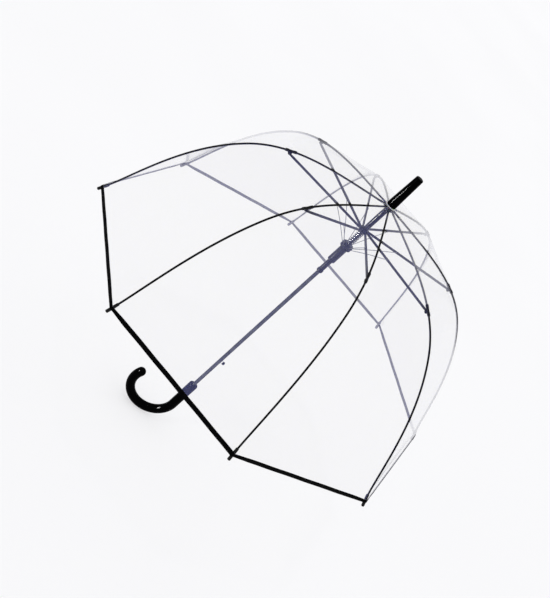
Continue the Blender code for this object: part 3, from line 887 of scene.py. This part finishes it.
def make_shaft():
    """Steel tube with a slot that the catch goes in."""
    low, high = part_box("shaft")
    r = (high.x - low.x) / 2
    wall = 0.0005
    profile = [(r, high.z), (r, low.z), (r - wall, low.z), (r - wall, high.z)]
    shaft = turned("shaft_tube", profile, STEEL, 48)
    low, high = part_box("lower_catch")
    size = (0.0050, CATCH_SLOT, high.z - low.z + 0.003)
    cut_boxes(shaft, [box_matrix(size, (-0.0035, 0, (high.z + low.z) / 2))])
    on_body(shaft, "frame", "shaft_steel", "shaft")


def flat_tab(name, outline, thick, finish):
    """A flat piece in the XZ plane, with rounded edges."""
    body = bmesh.new()
    loft(body, [[Vector((x, side, z)) for x, z in outline] for side in (-thick / 2, thick / 2)])
    bmesh.ops.recalc_face_normals(body, faces=body.faces)
    return bevel(piece_from(name, body, finish), 0.0003)


def make_catch():
    """Sprung tab: a bright steel wedge that ends in a dark nose, which the runner rides over."""
    low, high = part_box("lower_catch")
    middle = (low.z + high.z) / 2
    half = (high.z - low.z) / 2
    nose = low.x
    nose_back = nose + 0.0054
    in_nose = nose_back - 0.0008
    root = high.x
    shoulder = root * 2.2       # just outside the shaft
    wedge = [
        (root, middle + half), (shoulder, middle + half * 0.92),
        (in_nose, middle + half * 0.40), (in_nose, middle - half * 0.40),
        (shoulder, middle - half * 0.92), (root, middle - half),
    ]
    strip = flat_tab("catch_strip", wedge, CATCH_STRIP, CATCH_STEEL)
    on_body(strip, "catch", "spring_steel")
    cap = [
        (nose_back, middle + half * 0.54), (nose + 0.0014, middle + half * 0.58),
        (nose, middle + half * 0.34), (nose, middle - half * 0.38),
        (nose + 0.0014, middle - half * 0.60), (nose_back, middle - half * 0.54),
    ]
    tab = flat_tab("catch_nose", cap, CATCH_NOSE, TUBE_PLASTIC)
    on_body(tab, "catch", "grey_plastic", "lower_catch")


def make_ferrule():
    """Long cap on the shaft's end, slightly tapered, with a round end."""
    low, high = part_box("ferrule")
    base_r = (high.x - low.x) / 2
    tip_r = base_r - 0.0022
    depth = 0.036       # the shaft goes this far in
    end_round = 0.0024
    base_round = 0.0010
    profile = [(0.0, high.z)]
    profile += arc((tip_r - end_round, high.z - end_round), end_round, 90, 2, 8)
    profile += [(base_r - 0.0001, low.z + 0.0030)]
    profile += arc((base_r - base_round, low.z + base_round), base_round, 0, -90, 5)
    profile += [(BORE, low.z), (BORE, low.z + depth), (0.0, low.z + depth)]
    ferrule = turned("ferrule_cap", profile, GLOSS_BLACK, 72, closed=False)
    return on_body(ferrule, "frame", "gloss_black", "ferrule")


def make_washer():
    """Clear rosette with a scalloped edge that pinches the film."""
    low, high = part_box("ferrule_washer")
    outer = (high.x - low.x) / 2
    steps = 96
    petals = 12
    wave = 0.03
    profile = [         # radius, height and depth of the scallops
        (BORE, high.z, 0.0), (0.72 * outer, high.z, 0.0), (0.93 * outer, high.z - 0.0001, wave),
        (outer, high.z - 0.0005, wave), (0.96 * outer, low.z + 0.0001, wave),
        (0.72 * outer, low.z, 0.0), (BORE, low.z, 0.0),
    ]
    body = bmesh.new()
    rings = []
    for r, z, scallop in profile:
        ring = []
        for k in range(steps):
            angle = 2 * math.pi * k / steps
            reach = r * (1 + scallop * (math.cos(petals * angle) - 1))
            ring.append(body.verts.new((reach * math.cos(angle), reach * math.sin(angle), z)))
        rings.append(ring)
    for a, b in zip(rings, rings[1:] + rings[:1]):
        for k in range(steps):
            j = (k + 1) % steps
            body.faces.new((a[k], a[j], b[j], b[k]))
    bmesh.ops.recalc_face_normals(body, faces=body.faces)
    washer = piece_from("rosette", body, CLEAR_PLASTIC)
    on_body(washer, "frame", "clear_plastic", "ferrule_washer")


def make_notch():
    """Slotted collar at the shaft's top, which the ribs hinge in."""
    low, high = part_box("top_notch")
    notch = turned("notch_collar", rounded_ring(0.0110, low.z, high.z, 0.0008), GREY_PLASTIC, 72)
    cut_slots(notch, 0.0066, 0.0130, 0.0, 0.0036, low.z - 0.001, high.z + 0.001)
    on_body(notch, "frame", "grey_plastic", "top_notch")


def make_hub():
    """Slotted collar that the stretchers hinge in, and the tube above it."""
    low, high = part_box("middle_hub")
    hub = turned("hub_collar", rounded_ring(0.0100, low.z, high.z, 0.0008), TUBE_PLASTIC, 72)
    cut_slots(hub, 0.0057, 0.0120, STRETCHER_SIDE, 0.0030, low.z - 0.001, high.z + 0.001)
    on_body(hub, "hub", "grey_plastic", "middle_hub")
    low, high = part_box("hub_tube")
    r = (high.x - low.x) / 2
    tube_piece = turned("hub_sleeve", rounded_ring(r, low.z, high.z, 0.0005), TUBE_PLASTIC, 56)
    return on_body(tube_piece, "hub", "grey_plastic", "hub_tube")


def make_spring():
    """Compression spring, with its turns a little closer at the ends."""
    low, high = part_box("opening_spring")
    wire = 0.0009
    coil = (high.x - low.x) / 2 - wire
    turns = 8
    around = 28
    count = turns * around
    path = []
    for i in range(count + 1):
        t = i / count
        lifted = smooth_step(t) * 0.25 + t * 0.75
        angle = 2 * math.pi * turns * t
        z = low.z + wire + (high.z - low.z - 2 * wire) * lifted
        path.append(Vector((coil * math.cos(angle), coil * math.sin(angle), z)))
    spring = tube("coil_spring", path, [wire] * len(path), 10, SPRING_STEEL)
    on_body(spring, "hub", "spring_steel", "opening_spring")
    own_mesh(spring)
    return spring


def make_runner():
    """Slotted collar, stout body that ends in a step, slim sleeve and end flange."""
    low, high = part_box("runner")
    top = high.z
    body_end = top - 0.0505
    sleeve_end = top - 0.0785
    edge = 0.0008
    body_r = 0.0086
    groove_r = 0.0081
    flange_r = 0.0067
    profile = arc((0.0118, top - edge), edge, 90, 0, 4)
    profile += arc((0.0118, top - 0.0096), edge, 0, -90, 4)
    profile += [(0.0090, top - 0.0106), (body_r, top - 0.0114)]
    for ring in range(2):
        z = body_end + 0.0062 - 0.0026 * ring
        profile += [(body_r, z), (groove_r, z - 0.0005), (groove_r, z - 0.0011), (body_r, z - 0.0016)]
    profile += [(body_r, body_end + 0.0006), (0.0080, body_end), (0.0061, body_end - 0.0012)]
    profile += [(0.0057, body_end - 0.0020), (0.0056, sleeve_end), (0.0060, sleeve_end - 0.0008)]
    profile += [(flange_r, sleeve_end - 0.0014), (flange_r, sleeve_end - 0.0061), (0.0061, low.z)]
    profile += [(BORE, low.z), (BORE, top)]
    runner = turned("runner_sleeve", profile, GREY_PLASTIC, 72)
    cut_slots(runner, 0.0095, 0.0140, WIRE_SIDE, 0.0024, top - 0.0098, top + 0.001)
    return on_body(runner, "runner", "grey_plastic", "runner")


def make_handle():
    """J crook: chamfered top, straight leg, round bend and a round free end."""
    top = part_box("handle")[1].z
    bend_z = CROOK_R + CROOK_BEND
    path = []
    radii = []
    for z, factor in ((top, 0.80), (top - 0.0006, 0.87), (top - 0.0018, 0.97), (top - 0.0030, 1.0),
                      (top - 0.030, 1.0), (top - 0.055, 1.0), (bend_z + 0.004, 1.0)):
        path.append(Vector((0, 0, z)))
        radii.append(CROOK_R * factor)
    steps = 84
    for i in range(steps + 1):
        swing = CROOK_SWEEP * i / steps
        x = CROOK_BEND - CROOK_BEND * math.cos(swing)
        path.append(Vector((x, 0, bend_z - CROOK_BEND * math.sin(swing))))
        radii.append(CROOK_R)
    run = (path[-1] - path[-2]).normalized()
    last = path[-1]
    for i in range(1, 11):
        swing = math.radians(8.8 * i)
        path.append(last + run * CROOK_R * math.sin(swing))
        radii.append(CROOK_R * math.cos(swing))
    body = bmesh.new()
    loft(body, sweep_rings(path, radii, 48))
    bmesh.ops.recalc_face_normals(body, faces=body.faces)
    handle = piece_from("crook_handle", body, HANDLE_BLACK, 50)
    return on_body(handle, "frame", "gloss_black", "handle")


# ======================================================================
# Stage, light and camera
# ======================================================================
def make_stage():
    body = bmesh.new()
    bmesh.ops.create_grid(body, x_segments=2, y_segments=2, size=14.0)
    finish = Nodes("pale_floor")
    colour = finish.mix_colour(finish.noise(0.7, 2.0), (0.370, 0.370, 0.375), (0.385, 0.385, 0.390))
    finish.link(colour, finish.shader.inputs["Base Color"])
    finish.set(Roughness=0.85, Specular_IOR_Level=0.15)
    finish.set(Emission_Color=(1.0, 1.0, 1.015, 1.0), Emission_Strength=0.57)
    floor = piece_from("floor", body, finish.material)
    floor.location.z = -0.0012      # just under the crook


def area_light(name, at, aim, size, power):
    data = bpy.data.lights.new(name, "AREA")
    data.shape = "RECTANGLE"
    data.size, data.size_y = size
    data.energy = power
    light = bpy.data.objects.new(name, data)
    light.location = at
    light.rotation_mode = "QUATERNION"
    light.rotation_quaternion = (Vector(aim) - Vector(at)).to_track_quat("-Z", "Y")
    bpy.context.scene.collection.objects.link(light)
    return light


def gloss_panel(name, height, size, power, piece):
    """A panel that lights only this piece and shows in it as a streak of gloss."""
    panel = area_light(name, (1.06, 0.56, height), (0.0, 0.0, height + 0.3), size, power)
    panel.visible_camera = False
    panel.visible_diffuse = False
    panel.visible_transmission = False
    receivers = bpy.data.collections.new(name + "_receivers")
    receivers.objects.link(piece)
    panel.light_linking.receiver_collection = receivers


def make_light(ferrule, handle, tube_piece, runner, spring):
    """Even white surround, a soft steep sun, and a panel for the gloss of each of these pieces."""
    world = bpy.data.worlds.new("studio")
    bpy.context.scene.world = world
    world.use_nodes = True
    background = world.node_tree.nodes["Background"]
    background.inputs["Color"].default_value = (0.996, 0.996, 1.0, 1.0)
    background.inputs["Strength"].default_value = 0.94
    data = bpy.data.lights.new("sun", "SUN")
    data.energy = 0.22
    data.angle = math.radians(5)
    sun = bpy.data.objects.new("sun", data)
    sun.rotation_mode = "QUATERNION"
    sun.rotation_quaternion = Vector((-0.29, -0.27, -1.0)).to_track_quat("-Z", "Y")
    bpy.context.scene.collection.objects.link(sun)
    gloss_panel("ferrule_panel", 0.480, (0.06, 0.16), 50.0, ferrule)
    gloss_panel("handle_panel", 0.330, (0.40, 0.20), 150.0, handle)
    gloss_panel("tube_panel", 0.270, (0.08, 0.30), 40.0, tube_piece)
    gloss_panel("runner_panel", 0.200, (0.10, 0.40), 20.0, runner)
    gloss_panel("spring_panel", 0.230, (0.30, 0.60), 300.0, spring)


def make_camera():
    data = bpy.data.cameras.new("camera")
    data.lens = CAMERA_LENS
    data.sensor_width = 36
    camera = bpy.data.objects.new("camera", data)
    camera.rotation_mode = "QUATERNION"
    level = (CAMERA_AIM - CAMERA_AT).to_track_quat("-Z", "Y")
    roll = Matrix.Rotation(CAMERA_ROLL, 3, "Z").to_quaternion()
    camera.rotation_quaternion = level @ roll
    camera.location = CAMERA_AT
    bpy.context.scene.collection.objects.link(camera)
    bpy.context.scene.camera = camera


def main():
    bpy.context.scene.view_settings.view_transform = "Standard"
    make_stage()
    make_camera()
    make_ribs()
    make_canopy()
    for k in range(RIBS):
        make_stretcher(k)
        make_pull_wire(k)
    make_shaft()
    make_catch()
    make_washer()
    make_notch()
    spring = make_spring()
    runner = make_runner()
    make_light(make_ferrule(), make_handle(), make_hub(), runner, spring)


main()
